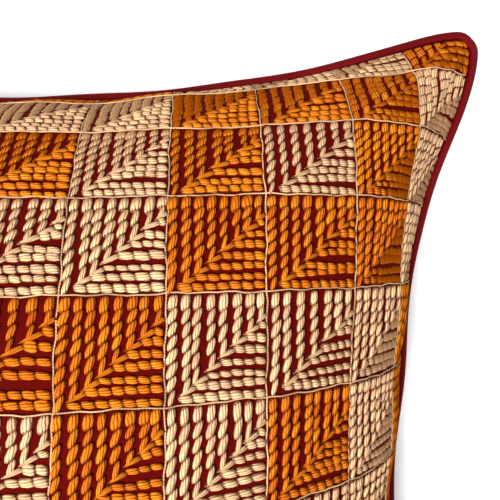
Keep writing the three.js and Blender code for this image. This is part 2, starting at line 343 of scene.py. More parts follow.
def seam_wave(cover, a, b, column):
    """Sway or rise of the seam's waves, fading into the cloth and toward the diagonals."""
    inward, along, side, fade = nearest_seam(cover, a, b)
    total = SEAM_RIPPLE[column] * np.sin(2 * math.pi * along / SEAM_RIPPLE["length"] + SIDE_PHASE * side)
    for number, name in enumerate(SIDES):
        wave = SEAM_WAVES[name]
        swing = wave[column] * np.cos(2 * math.pi * (along - wave["peak"]) / wave["length"])
        total = np.where(side == number, total + swing, total)
    return total * fade * np.exp(-((inward / SEAM_WAVE_REACH) ** 2))


def dent(cover, a, b, face_phase):
    """Puckers along the seams and folds at the corners, off the smooth crown."""
    inward, along, side, fade = nearest_seam(cover, a, b)
    near = inward / PUCKER_REACH
    total = np.zeros_like(a)
    for pucker in PUCKERS:
        turn = 2 * math.pi * along / pucker["length"] + pucker["phase"] + SIDE_PHASE * side + face_phase
        total += pucker["depth"] * (np.cos(turn) - 1) * fade * near * np.exp(1 - near)
    left = cover.flat_side / 2 * (1 - np.abs(a))
    down = cover.flat_side / 2 * (1 - np.abs(b))
    reach = np.hypot(left, down)
    angle = np.degrees(np.arctan2(down, left)) - 45
    hand = np.where(a * b < 0, -1, 1)
    least = np.minimum(left, down)
    for fold in CORNER_FOLDS:
        off = (angle - fold["turn"] * hand) / fold["width"]
        run = reach / fold["reach"]
        deep = fold["depth"] * np.exp(-off * off) * run * np.exp(1 - run)
        total -= deep * least / (least + cover.corner_radius / 2)
    return total


def cover_grids(cover):
    """Points of the face and of the back on one signed grid, and the flat place of each."""
    share, qx, qy, qz = quarter_face(cover)
    half = cover.flat_side / 2
    signed = np.arange(-STEPS_PER_HALF, STEPS_PER_HALF + 1)
    i, k = np.meshgrid(signed, signed, indexing="ij")
    qi, qk = np.abs(i), np.abs(k)
    draw_a, draw_b = corner_draw(cover, share[qi], share[qk])
    ear = EAR_PUSH * np.exp(-((half * np.hypot(1 - share[qi], 1 - share[qk]) / EAR_REACH) ** 2))
    x = np.sign(i) * (qx[qi, qk] - half * draw_a + ear)
    y = np.sign(k) * (qy[qi, qk] - half * draw_b + ear)
    flat = np.stack([np.sign(i) * (share[qi] - draw_a), np.sign(k) * (share[qk] - draw_b)], -1) * half
    a, b = np.sign(i) * share[qi], np.sign(k) * share[qk]
    up = qz[qi, qk]
    low = back_depth(cover, share, np.maximum(qi, qk), up)
    grids = {}
    on_seam = (qi == STEPS_PER_HALF) | (qk == STEPS_PER_HALF)
    for name, height, phase, way in (("face", up, 0.0, 1), ("back", -low, BACK_PHASE, -1)):
        points = np.stack([x, y, cover.rest_depth + height], -1)
        resting = (points[..., 2] < RESTING) & (name == "back")
        eastward, northward = np.zeros_like(points), np.zeros_like(points)
        eastward[1:-1] = points[2:] - points[:-2]
        northward[:, 1:-1] = points[:, 2:] - points[:, :-2]
        normal = np.cross(eastward, northward)
        normal /= np.maximum(np.linalg.norm(normal, axis=-1, keepdims=True), TINY)
        held = np.clip(points[..., 2] / cover.rest_ease, 0, 1)
        depth = np.where(on_seam, 0, dent(cover, a, b, phase) * held * way)
        moved = points + normal * depth[..., None]
        on_ends = np.abs(a) >= np.abs(b)
        sway = seam_wave(cover, a, b, "sway")
        moved[..., 0] += np.where(on_ends, np.sign(a), 0) * sway
        moved[..., 1] += np.where(on_ends, 0, np.sign(b)) * sway
        moved[..., 2] += seam_wave(cover, a, b, "rise")
        grids[name] = np.where(resting[..., None], points, moved)
    return grids["face"], grids["back"], flat


# Making of meshes and nodes

def add(tree, kind, inputs=(), **settings):
    """A new node with its properties and its inputs, given as values or as sockets to link."""
    node = tree.nodes.new(kind)
    for name, value in settings.items():
        setattr(node, name, value)
    for key, value in dict(inputs).items():
        if isinstance(value, bpy.types.NodeSocket):
            tree.links.new(value, node.inputs[key])
        else:
            node.inputs[key].default_value = value
    return node


def maths(tree, operation, *values, kind="ShaderNodeMath"):
    """Result of a maths node on values or sockets."""
    return add(tree, kind, enumerate(values), operation=operation).outputs[0]


def times(tree, first, second):
    return maths(tree, "MULTIPLY", first, second)


def noise(tree, place, scale, detail=2.0):
    return add(tree, "ShaderNodeTexNoise", {"Vector": place, "Scale": scale, "Detail": detail}).outputs["Fac"]


def ramp(tree, value, span):
    """Value as a share of a span, from 0 at its start to 1 at its end."""
    node = add(tree, "ShaderNodeMapRange", {"Value": value, "From Min": span[0], "From Max": span[1]})
    return node.outputs[0]


def shared(tree, name, inputs, kind="ShaderNodeGroup"):
    """Outputs of a shared group placed in a tree."""
    return add(tree, kind, inputs, node_tree=bpy.data.node_groups[name]).outputs


def bumped(tree, shader, height, strength, distance):
    """Gives a shader the relief of a height."""
    bump = add(tree, "ShaderNodeBump", {"Strength": strength, "Distance": distance, "Height": height})
    tree.links.new(bump.outputs[0], shader["Normal"])


def new_group(name, kind, inputs, outputs):
    """A node group with named sockets of given kinds, and its input and output nodes."""
    tree = bpy.data.node_groups.new(name, kind)
    for label, socket, *default in inputs:
        made = tree.interface.new_socket(label, in_out="INPUT", socket_type=f"NodeSocket{socket}")
        if default:
            made.default_value = default[0]
    for label, socket in outputs:
        tree.interface.new_socket(label, in_out="OUTPUT", socket_type=f"NodeSocket{socket}")
    return tree, tree.nodes.new("NodeGroupInput").outputs, tree.nodes.new("NodeGroupOutput").inputs


def new_object(name, vertices, faces, edges=(), smooth=True):
    """An object with its mesh, linked to the scene."""
    mesh = bpy.data.meshes.new(name)
    mesh.from_pydata(vertices, edges, faces)
    if smooth:
        mesh.shade_smooth()
    return linked(name, mesh)


def linked(name, data):
    made = bpy.data.objects.new(name, data)
    bpy.context.scene.collection.objects.link(made)
    return made


def set_uv(mesh, name, corners):
    """Adds a UV map with a pair for each corner of each face."""
    layer = mesh.uv_layers.new(name=name)
    layer.data.foreach_set("uv", np.asarray(corners, dtype=np.float32).ravel())


def grid_faces(rows, columns):
    """Faces of four corners over a grid of points."""
    i, k = np.meshgrid(np.arange(rows - 1), np.arange(columns - 1), indexing="ij")
    first = (i * columns + k).ravel()
    return np.stack([first, first + columns, first + columns + 1, first + 1], -1)


def flat_uv(cover, flat):
    """The flat cover's places as shares of its sides."""
    return np.asarray(flat) / cover.flat_side + 0.5


# Materials

def weave_group():
    """Fine cross-wise threads of plain cotton over a cloth laid out in metres: their height, and painted
    shade in the grooves between them with uneven tone over it.
    """
    tree, given, result = new_group(
        "Plain weave", "ShaderNodeTree",
        [("Place", "Vector"), ("Threads per metre", "Float", 2400.0),
         ("Unevenness", "Float", 0.35)],
        [("Shade", "Float"), ("Height", "Float")])
    place = add(tree, "ShaderNodeSeparateXYZ", {"Vector": given["Place"]}).outputs
    uneven = times(tree, noise(tree, given["Place"], 900.0), given["Unevenness"])
    turns = times(tree, given["Threads per metre"], math.pi)
    weft = maths(tree, "ABSOLUTE", maths(tree, "SINE", times(tree, place["Y"], turns)))
    warp = maths(tree, "ABSOLUTE", maths(tree, "SINE", times(tree, place["X"], turns)))
    height = maths(tree, "ADD", times(tree, weft, 0.75), times(tree, warp, 0.25))
    broad = noise(tree, given["Place"], 30.0, 3.0)
    shade = maths(tree, "MULTIPLY_ADD", height, 0.35, maths(tree, "MULTIPLY_ADD", broad, 0.4, uneven))
    tree.links.new(shade, result["Shade"])
    tree.links.new(maths(tree, "ADD", height, uneven), result["Height"])
    return tree


def strand_group():
    """Strands of a flat lying stitch: crests for a painted highlight, slits for painted shade, and the split
    rim of the stitch.
    """
    tree, given, result = new_group(
        "Yarn strands", "ShaderNodeTree",
        [("Strand", "Vector"), ("Tone", "Float", 0.0),
         ("Strands", "Float", 3.4), ("Lean", "Float", 0.5),
         ("Wander", "Float", 0.7), ("Hairs", "Float", 14.0)],
        [("Crest", "Float"), ("Split", "Float"), ("Height", "Float")])
    place = add(tree, "ShaderNodeSeparateXYZ", {"Vector": given["Strand"]}).outputs
    across, along = place["X"], place["Y"]
    own = times(tree, given["Tone"], TONE_SPREAD)

    def stretched(wide, long, scale, detail):
        seat = add(tree, "ShaderNodeCombineXYZ", {"X": wide, "Y": long, "Z": own}).outputs[0]
        return noise(tree, seat, scale, detail)

    def inset(value):
        return times(tree, times(tree, value, maths(tree, "SUBTRACT", 1.0, value)), 4.0)

    drift = stretched(times(tree, across, 1.5), along, 2.2, 1.0)
    phase = times(tree, across, given["Strands"])
    phase = maths(tree, "ADD", phase, times(tree, along, given["Lean"]))
    phase = maths(tree, "ADD", phase, times(tree, drift, given["Wander"]))
    phase = maths(tree, "ADD", phase, own)
    crest = maths(tree, "ABSOLUTE", maths(tree, "SINE", times(tree, phase, math.pi)))
    crest = maths(tree, "POWER", crest, 0.6)
    fibre = stretched(times(tree, across, given["Hairs"]), times(tree, along, 1.6), 2.0, 3.0)
    ragged = maths(tree, "MULTIPLY_ADD", crest, 0.30, inset(along))
    split = times(tree, ramp(tree, ragged, RAGGED_TIPS), ramp(tree, inset(across), SOFT_RIMS))
    tree.links.new(times(tree, crest, maths(tree, "MULTIPLY_ADD", fibre, 0.5, 0.75)), result["Crest"])
    tree.links.new(split, result["Split"])
    tree.links.new(maths(tree, "MULTIPLY_ADD", fibre, 0.3, crest), result["Height"])
    return tree


def twist_group():
    """Two plies laid round each other, by length along and share around a thread."""
    tree, given, result = new_group(
        "Twisted plies", "ShaderNodeTree",
        [("Along", "Float", 0.0), ("Around", "Float", 0.0),
         ("Turns per metre", "Float", 500.0)],
        [("Crest", "Float")])
    phase = maths(tree, "MULTIPLY_ADD", given["Along"], given["Turns per metre"], given["Around"])
    crest = maths(tree, "ABSOLUTE", maths(tree, "SINE", times(tree, phase, 2 * math.pi)))
    tree.links.new(crest, result["Crest"])
    return tree


def new_material(name, roughness, specular):
    """A material with its shader's constants set, and the shader's inputs to link to."""
    material = bpy.data.materials.new(name)
    material.use_nodes = True
    shader = material.node_tree.nodes["Principled BSDF"].inputs
    shader["Roughness"].default_value = roughness
    shader["Specular IOR Level"].default_value = specular
    return material, material.node_tree, shader


def colour_between(tree, factor, low, high):
    """Mix of two colours, by the numbers of the mix node's colour sockets."""
    mix = add(tree, "ShaderNodeMix", {0: factor, 6: low, 7: high}, data_type="RGBA")
    return mix.outputs[2]


def shaded(colour, share):
    """A colour darkened or lit by a share, with its alpha."""
    return (*(channel * share for channel in colour), 1.0)


def cloth_material(name, colour, uv_name, metres, threads=2400.0, roughness=0.9, specular=0.03):
    """Plain cotton on a UV map whose unit is so many metres."""
    material, tree, shader = new_material(name, roughness, specular)
    uv = add(tree, "ShaderNodeUVMap", uv_map=uv_name).outputs[0]
    place = maths(tree, "MULTIPLY", uv, (metres, metres, metres), kind="ShaderNodeVectorMath")
    weave = shared(tree, "Plain weave", {"Place": place, "Threads per metre": threads})
    # The weave's shade: painted shade in the grooves between threads, with uneven tone, between dark and
    # light copies of the cloth's colour
    tint = colour_between(tree, weave["Shade"], shaded(colour, 0.55), shaded(colour, 1.3))
    tree.links.new(tint, shader["Base Color"])
    bumped(tree, shader, weave["Height"], 0.6, 0.0002)
    return material


def squareness(tree, **inputs):
    """How squarely a direction is met, squared: 1 face on and 0 along the line of sight."""
    facing = add(tree, "ShaderNodeLayerWeight", {"Blend": 0.5, **inputs}).outputs["Facing"]
    return maths(tree, "POWER", maths(tree, "SUBTRACT", 1.0, facing), 2.0)


def yarn_material(name, colour, painted_slit_shade, lit, deep, ground):
    """Yarn with its strands: painted shade in the slits and painted highlight on the crests,
    and the ground showing between split ends, darkened by painted shade.

    Yarn that runs away from the eye is painted deep and matt, yarn that lies across it bright: a painted
    sheen.
    """
    material, tree, shader = new_material(name, 0.7, 0.0)
    uv = add(tree, "ShaderNodeUVMap", uv_map="strand").outputs[0]
    tone = add(tree, "ShaderNodeAttribute", attribute_name="tone").outputs["Fac"]
    strands = shared(tree, "Yarn strands", {"Strand": uv, "Tone": tone})
    # Painted shade in the slits between strands and painted highlight on their crests
    tint = colour_between(tree, strands["Crest"], (*painted_slit_shade, 1.0), shaded(colour, lit))
    hue, value = maths(tree, "MULTIPLY_ADD", tone, TONE_TO_HUE, 0.5), maths(tree, "ADD", tone, 1.0)
    tint = add(tree, "ShaderNodeHueSaturation", {"Color": tint, "Hue": hue, "Value": value}).outputs[0]
    # Painted sheen: the nearer the yarn runs end on to the eye, the more it is painted in its deep colour and
    # the more its splits close
    across = add(tree, "ShaderNodeTangent", direction_type="UV_MAP", uv_map="strand").outputs[0]
    end_on = maths(tree, "SUBTRACT", 1.0, squareness(tree))
    end_on = maths(tree, "SUBTRACT", end_on, squareness(tree, Normal=across))
    painted_sheen = ramp(tree, end_on, PAINTED_SHEEN_SPAN)
    tint = colour_between(tree, painted_sheen, tint, (*deep, 1.0))
    # Where the strands split and at the rims the ground cloth shows, darkened by painted shade
    closed = maths(tree, "MAXIMUM", strands["Split"], painted_sheen)
    tint = colour_between(tree, closed, shaded(ground, PAINTED_SHADE_ON_SPLIT_GROUND), tint)
    tree.links.new(tint, shader["Base Color"])
    bumped(tree, shader, strands["Height"], maths(tree, "MULTIPLY_ADD", painted_sheen, -0.6, 0.9), 0.0004)
    return material


def thread_material(name, colour):
    """Twisted thread with painted highlight on its plies and painted shade between them, and patches of
    lighter and darker tone along it.
    """
    material, tree, shader = new_material(name, 0.6, 0.06)
    places = {
        label: add(tree, "ShaderNodeAttribute", attribute_name=label.lower()).outputs["Fac"]
        for label in ("Along", "Around")
    }
    crest = shared(tree, "Twisted plies", places)["Crest"]
    patch = noise(tree, add(tree, "ShaderNodeTexCoord").outputs["Object"], 60.0)
    # Painted highlight on the plies' crests and painted shade between them, times patches of tone
    plies = maths(tree, "MULTIPLY_ADD", crest, 0.5, 0.5)
    light = times(tree, plies, maths(tree, "MULTIPLY_ADD", patch, 2.4, -0.6))
    tint = colour_between(tree, light, shaded(colour, 0.4), shaded(colour, 1.2))
    tree.links.new(tint, shader["Base Color"])
    bumped(tree, shader, crest, 0.6, 0.0002)
    return material


# Laying of work on the face

def lay_group():
    """Moves what was made over the flat cover onto the filled face: height becomes height off the cloth."""
    tree, given, result = new_group(
        "Lay on the face", "GeometryNodeTree",
        [("Geometry", "Geometry"), ("Face", "Object"),
         ("Side", "Float", 0.45), ("Margin", "Float", 0.0011)],
        [("Geometry", "Geometry")])
    position = tree.nodes.new("GeometryNodeInputPosition").outputs[0]
    normal = tree.nodes.new("GeometryNodeInputNormal").outputs[0]
    here = add(tree, "ShaderNodeSeparateXYZ", {"Vector": position}).outputs
    most = maths(tree, "SUBTRACT", times(tree, given["Side"], 0.5), given["Margin"])
    least = times(tree, most, -1.0)

    def share(value):
        held = maths(tree, "MINIMUM", maths(tree, "MAXIMUM", value, least), most)
        return maths(tree, "ADD", maths(tree, "DIVIDE", held, given["Side"]), 0.5)

    uv = add(tree, "ShaderNodeCombineXYZ", {"X": share(here["X"]), "Y": share(here["Y"])}).outputs[0]
    face = add(tree, "GeometryNodeObjectInfo", {"Object": given["Face"]}).outputs["Geometry"]
    flat = named(tree, "flat", "FLOAT_VECTOR")

    def sampled(field):
        inputs = {"Mesh": face, "UV Map": flat, "Sample UV": uv}
        node = add(tree, "GeometryNodeSampleUVSurface", inputs, data_type="FLOAT_VECTOR")
        tree.links.new(field, node.inputs["Value"])
        return node.outputs["Value"]

    raised = scaled(tree, sampled(normal), here["Z"])
    final = maths(tree, "ADD", sampled(position), raised, kind="ShaderNodeVectorMath")
    moved = add(tree, "GeometryNodeSetPosition", {"Geometry": given["Geometry"], "Position": final})
    tree.links.new(moved.outputs[0], result["Geometry"])
    return tree


def laid(tree, geometry, given):
    """Nodes that lay a geometry on the face by the shared group."""
    inputs = {"Geometry": geometry, "Face": given["Face"], "Side": given["Side"]}
    return shared(tree, "Lay on the face", inputs, "GeometryNodeGroup")[0]


def named(tree, name, kind):
    return add(tree, "GeometryNodeInputNamedAttribute", {"Name": name}, data_type=kind).outputs[0]


def scaled(tree, vector, scale):
    return add(tree, "ShaderNodeVectorMath", {0: vector, "Scale": scale}, operation="SCALE").outputs[0]


def drawn_by_lot(tree, least, most, seed):
    return add(tree, "FunctionNodeRandomValue", {2: least, 3: most, "Seed": seed}).outputs[1]


def finished(tree, geometry, given, result):
    """Ends a tree with its material set on plain geometry."""
    real = add(tree, "GeometryNodeRealizeInstances", {"Geometry": geometry}).outputs[0]
    dressed = add(tree, "GeometryNodeSetMaterial", {"Geometry": real, "Material": given["Material"]})
    tree.links.new(dressed.outputs[0], result["Geometry"])
    return tree


def stitch_tree():
    """Stitches on points of the flat cover, each with its own form, turn and size."""
    tree, given, result = new_group(
        "Rows of stitches", "GeometryNodeTree",
        [("Geometry", "Geometry"), *((form, "Object") for form in FORMS),
         ("Face", "Object"), ("Side", "Float", 0.45),
         ("Turn error", "Float", 0.05), ("Size error", "Float", 0.08),
         ("Seed", "Int", 11), ("Material", "Material")],
        [("Geometry", "Geometry")])
    points = add(tree, "GeometryNodeMeshToPoints", {"Mesh": given["Geometry"]}).outputs[0]
    # A join takes its last link first, so the forms are linked from the last to the first
    forms = tree.nodes.new("GeometryNodeJoinGeometry")
    for form in reversed(FORMS):
        info = add(tree, "GeometryNodeObjectInfo", {"Object": given[form], "As Instance": True})
        tree.links.new(info.outputs["Geometry"], forms.inputs[0])
    less = times(tree, given["Turn error"], -1.0)
    error = drawn_by_lot(tree, less, given["Turn error"], given["Seed"])
    turn = maths(tree, "ADD", named(tree, "turn", "FLOAT"), error)
    small = maths(tree, "SUBTRACT", 1.0, given["Size error"])
    large = maths(tree, "ADD", 1.0, given["Size error"])
    growth = drawn_by_lot(tree, small, large, maths(tree, "ADD", given["Seed"], 1.0))
    euler = add(tree, "ShaderNodeCombineXYZ", {"Z": turn}).outputs[0]
    placed = add(tree, "GeometryNodeInstanceOnPoints", {
        "Points": points, "Instance": forms.outputs[0],
        "Pick Instance": True, "Instance Index": named(tree, "form", "INT"),
        "Rotation": add(tree, "FunctionNodeEulerToRotation", {"Euler": euler}).outputs[0],
        "Scale": scaled(tree, named(tree, "size", "FLOAT_VECTOR"), growth)})
    real = add(tree, "GeometryNodeRealizeInstances", {"Geometry": placed.outputs[0]}).outputs[0]
    return finished(tree, laid(tree, real, given), given, result)


def thread_tree():
    """A round thread along lines drawn over the flat cover."""
    tree, given, result = new_group(
        "Couched threads", "GeometryNodeTree",
        [("Geometry", "Geometry"), ("Face", "Object"),
         ("Side", "Float", 0.45), ("Radius", "Float", 0.0004),
         ("Sides", "Int", 5), ("Material", "Material")],
        [("Geometry", "Geometry")])
    spline = tree.nodes.new("GeometryNodeSplineParameter").outputs

    def marked(curve, name, value):
        inputs = {"Geometry": curve.outputs[0], "Name": name, "Value": value}
        return add(tree, "GeometryNodeStoreNamedAttribute", inputs, data_type="FLOAT").outputs[0]

    line = add(tree, "GeometryNodeMeshToCurve", {"Mesh": given["Geometry"]})
    round_off = {"Resolution": given["Sides"], "Radius": given["Radius"]}
    ring = add(tree, "GeometryNodeCurvePrimitiveCircle", round_off)
    tube = add(tree, "GeometryNodeCurveToMesh", {
        "Curve": marked(line, "along", spline["Length"]),
        "Profile Curve": marked(ring, "around", spline["Factor"]), "Fill Caps": True}).outputs[0]
    return finished(tree, laid(tree, tube, given), given, result)


def grown(name, base, tree, values):
    """The plain mesh that a tree makes of a base object; the base is used up."""
    modifier = base.modifiers.new("grow", "NODES")
    modifier.node_group = tree
    for item in tree.interface.items_tree:
        if item.item_type == "SOCKET" and item.in_out == "INPUT" and item.name in values:
            modifier[item.identifier] = values[item.name]
    base.update_tag()
    depsgraph = bpy.context.evaluated_depsgraph_get()
    evaluated = base.evaluated_get(depsgraph)
    mesh = bpy.data.meshes.new_from_object(evaluated, preserve_all_data_layers=True, depsgraph=depsgraph)
    if not mesh.polygons:
        raise RuntimeError(f"{name} came out empty")
    base.modifiers.clear()
    bpy.data.objects.remove(base)
    mesh.name = name
    mesh.shade_smooth()
    return linked(name, mesh)


def face_form(cover):
    """The worked face alone, for laying stitches on; it is removed after use."""
    face, _, flat = (grid[::MESH_STRIDE, ::MESH_STRIDE] for grid in cover_grids(cover))
    faces = grid_faces(*face.shape[:2])
    form = new_object("face_form", face.reshape(-1, 3).tolist(), faces.tolist())
    set_uv(form.data, "flat", flat_uv(cover, flat.reshape(-1, 2))[faces.ravel()])
    return form


# The stitches of the face

def crossing(cover, squares, k, j):
    """Flat place where column line k, counted from the right, meets row line j from the top."""
    half = cover.flat_side / 2
    pitch = 2 / squares
    across = k + COLUMN_SHIFTS[k]
    down = j + FIRST_ROW + ROW_SHIFTS[j]
    x = half * (1 - pitch * (across - COLUMN_LEAN * down))
    return np.array((x, half * (1 - pitch * (down + ROW_LEAN * across))))


def square_is_orange(squares, k, j):
    """Rings of eight squares round one of the other colour, in alternate colours."""
    column, row = squares - 2 - k, j - 1
    ring = (column // BLOCK + row // BLOCK) % 2 == 1
    middle = column % BLOCK == 1 and row % BLOCK == 1
    return ring != middle


def square_stitches(rng, settings, corners):
    """Ropes over the mitre, rows under it and the links between them.

    Each stitch is its place, way, size, tone, kind of row and form.
    """
    left_foot, right_foot, left_head, right_head = corners

    def at(s, t):
        foot = left_foot + (right_foot - left_foot) * s
        head = left_head + (right_head - left_head) * s
        return foot + (head - foot) * t

    ropes = settings.ropes - int(rng.random() < FEWER_ROPES)
    wide = np.linalg.norm(right_foot - left_foot + right_head - left_head) / 2
    tall = np.linalg.norm(left_head - left_foot + right_head - right_foot) / 2
    gap = 1 / ropes
    share = (np.arange(ropes) + FIRST_ROPE) * gap + rng.normal(0, HAND["rope"] * gap, ropes)
    mitre = settings.mitre + rng.normal(0, HAND["mitre"])
    lift = np.maximum(share * mitre, LOWEST_ROW * gap) + rng.normal(0, HAND["row"] * gap, ropes)
    pace = rng.normal(1, HAND["pace"])
    square_tone = rng.normal(0, HAND["square_tone"])
    made = []

    def run(start, end, step, kind, width):
        length = np.linalg.norm(end - start)
        if length < LEAST_RUN * step:
            return
        count = max(1, round(length / (step * pace)))
        way = (end - start) / length
        side = np.array((-way[1], way[0]))
        bow = rng.normal(0, HAND["bow"])
        for n in range(count):
            middle = start + way * length * (n + 0.5) / count
            aside = bow * math.sin(math.pi * (n + 0.5) / count) + rng.normal(0, HAND["aside"])
            size = np.array((
                width * rng.normal(1, HAND["stitch_width"]), length / count * OVERLAPS[kind],
                settings.yarn_height * rng.normal(1, HAND["stitch_height"])))
            if kind == "upright" and n == 0:
                size[0] *= FOOT_WIDTH
            form = "Block" if kind == "level" or n == count - 1 else "Leaf"
            tone = square_tone + rng.normal(0, HAND["stitch_tone"])
            made.append((middle + side * aside, way, size, tone, kind, form))

    for n in range(ropes):
        width = settings.upright_width * rng.normal(1, HAND["rope_width"])
        foot = at(
            share[n] + rng.normal(0, HAND["foot"]) * gap, max(lift[n] - ROPE_UNDER_ROW * gap, LOWEST_FOOT))
        head = at(share[n], 1 - EDGE_GAPS["upright"] / tall)
        run(foot, head, settings.upright_step, "upright", width)
        room = tall * min(lift[n] - (lift[n - 1] if n else -FIRST_ROW_ROOM * gap), gap)
        width = min(settings.level_width * rng.normal(1, HAND["row_width"]), ROW_FILL * room)
        start = at(min(share[n] + ROW_INSETS[n > 0] * gap, ROW_START_LIMIT), lift[n])
        end = at(1 - EDGE_GAPS["level"] / wide, lift[n] + rng.normal(0, HAND["row_end"]) * gap)
        run(start, end, settings.level_step, "level", width)
        if n:
            tail = at(share[n - 1] + LINK["back"] * gap, lift[n] - LINK["under"] * gap)
            tip = at(min(share[n] + LINK["out"] * gap, LINK["limit"]), lift[n] - LINK["below"] * gap)
            length = np.linalg.norm(tip - tail)
            size = (
                settings.level_width * LINK_SIZE["width"], length * LINK_SIZE["length"],
                settings.yarn_height * LINK_SIZE["height"])
            tone = square_tone + LINK_TONE
            made.append(((tail + tip) / 2, (tip - tail) / length, size, tone, "level", "Tail"))
    return made


def inside_seam(cover, points, margin):
    """Which points of the flat cover lie inside its rounded seam by a margin."""
    half, radius = cover.flat_side / 2, cover.corner_radius
    over = np.maximum(np.abs(points) - (half - radius), 0)
    return np.hypot(over[..., 0], over[..., 1]) <= radius - margin


def trimmed(cover, place, way, size):
    """Stitches cut back to the seam: their places and sizes, and which of them are left."""
    run = np.linspace(-0.5, 0.5, TRIM_SAMPLES)
    ends = place[:, None] + way[:, None] * (run[None, :, None] * size[:, None, 1:2])
    within = inside_seam(cover, ends, STITCH_MARGIN)
    low = np.where(within, run, 1).min(axis=1)
    high = np.where(within, run, -1).max(axis=1)
    place = place + way * (size[:, 1] * (low + high) / 2)[:, None]
    size[:, 1] *= high - low
    return place, size, high - low > LEAST_LEFT


def stitch_rows(cover, settings):
    """All stitches of the face by piece: arrays of place, turn, size, tone and number of form."""
    rng = np.random.default_rng(settings.seed)
    rows = {name: [] for name in YARNS}
    for k in range(len(COLUMN_SHIFTS) - 1):
        for j in range(len(ROW_SHIFTS) - 1):
            lines = (k + 1, j + 1), (k, j + 1), (k + 1, j), (k, j)
            corners = [crossing(cover, settings.squares, *pair) for pair in lines]
            yarn = "orange" if square_is_orange(settings.squares, k, j) else "cream"
            for *stitch, kind, form in square_stitches(rng, settings, corners):
                rows[f"{yarn}_{kind}"].append((*stitch, FORM_NUMBERS[form]))
    tables = {}
    for name, made in rows.items():
        place, way, size, tone, form = (np.array(column) for column in zip(*made))
        place, size, left = trimmed(cover, place, way, size)
        place, way, size, tone, form = (values[left] for values in (place, way, size, tone, form))
        turn = np.arctan2(way[:, 1], way[:, 0]) - math.pi / 2
        half = cover.flat_side / 2
        inward = half - np.abs(place).max(axis=1)
        down_slope = 1 if name.endswith("upright") else 0
        to_seam = half - np.abs(place[:, down_slope])
        near_seam = np.interp(inward, (0, SEAM_REACH), (SEAM_FLATTENING, 1))
        on_slope = np.interp(to_seam, (SLOPE_FLAT_FROM, SLOPE_FLAT_TO), (SLOPE_FLATTENING, 1))
        size[:, 0] *= 1 + SLOPE_SPREAD * np.exp(-((to_seam / SPREAD_REACH) ** 2))
        size[:, 2] *= np.minimum(near_seam, on_slope)
        banded = (to_seam < BAND_REACH) & (form != FORM_NUMBERS["Tail"])
        tables[name] = (place, turn, size, tone, np.where(banded, FORM_NUMBERS["Band"], form))
    return tables


def stitch_form(name, ends, lean, slant, taper, drop):
    """One stitch with its strand map, by the measures of its form."""
    vertices, uvs = [], []
    for along in STITCH_ALONG:
        far = abs(along) ** 3
        width = (1 - (1 - ends) * far) * (1 + taper * along)
        height = 1 - drop * far ** 2
        for across, rise in STITCH_ACROSS:
            x = 0.5 * across * width + 0.5 * lean * along
            y = 0.5 * along * (1 + STITCH_BULGE * (1 - abs(across))) + 0.5 * slant * across * width
            vertices.append((x, y, rise * height if rise > 0 else rise))
            uvs.append((0.5 + 0.5 * across, 0.5 + 0.5 * along))
    rows, columns = len(STITCH_ALONG), len(STITCH_ACROSS)
    number = np.arange(rows * columns).reshape(rows, columns)
    rim = np.concatenate([number[0], number[1:, -1], number[-1, -2::-1], number[-2:0:-1, 0]])
    faces = [*grid_faces(rows, columns)[:, ::-1].tolist(), rim[::-1].tolist()]
    form = new_object(name, vertices, faces)
    set_uv(form.data, "strand", [uvs[v] for face in faces for v in face])
    return form


def settings_of(context):
    return context.scene.cushion


def finish_piece(piece, node=None):
    """Parents a piece to the root body, and hides the imported part it stands for."""
    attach(piece, "root")
    if node:
        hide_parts(node)


# Operators, one for each piece or group of like pieces

class CUSHION_OT_groups(bpy.types.Operator):
    """Makes the node groups that the pieces share"""

    bl_idname = "cushion.groups"
    bl_label = "Shared groups"

    def execute(self, context):
        for make in (weave_group, strand_group, twist_group, lay_group):
            make()
        return {"FINISHED"}


class CUSHION_OT_cover(bpy.types.Operator):
    """Makes the filled cover, its face and back sewn together at the seam"""

    bl_idname = "cushion.cover"
    bl_label = "Filled cover"

    def execute(self, context):
        cover = settings_of(context).cover
        face, back, flat = (grid[::MESH_STRIDE, ::MESH_STRIDE] for grid in cover_grids(cover))
        rows = face.shape[0]
        number = np.arange(rows * rows).reshape(rows, rows)
        seam = np.ones((rows, rows), dtype=bool)
        seam[1:-1, 1:-1] = False
        back_number = number.copy()
        back_number[~seam] = rows * rows + np.arange((~seam).sum())
        vertices = np.concatenate([face.reshape(-1, 3), back[~seam]])
        quads = grid_faces(rows, rows)
        under = back_number.ravel()[quads][:, ::-1]
        made = new_object("cushion_cover", vertices.tolist(), np.concatenate([quads, under]).tolist())
        laid_out = flat_uv(cover, flat.reshape(-1, 2))
        corners = [laid_out[quads.ravel()], laid_out[quads[:, ::-1].ravel()] + (1.0, 0.0)]
        set_uv(made.data, "flat", np.concatenate(corners))
        made.data.materials.append(cloth_material("ground_cloth", cover.cloth, "flat", cover.flat_side))
        finish_piece(made, "cushion")
        return {"FINISHED"}


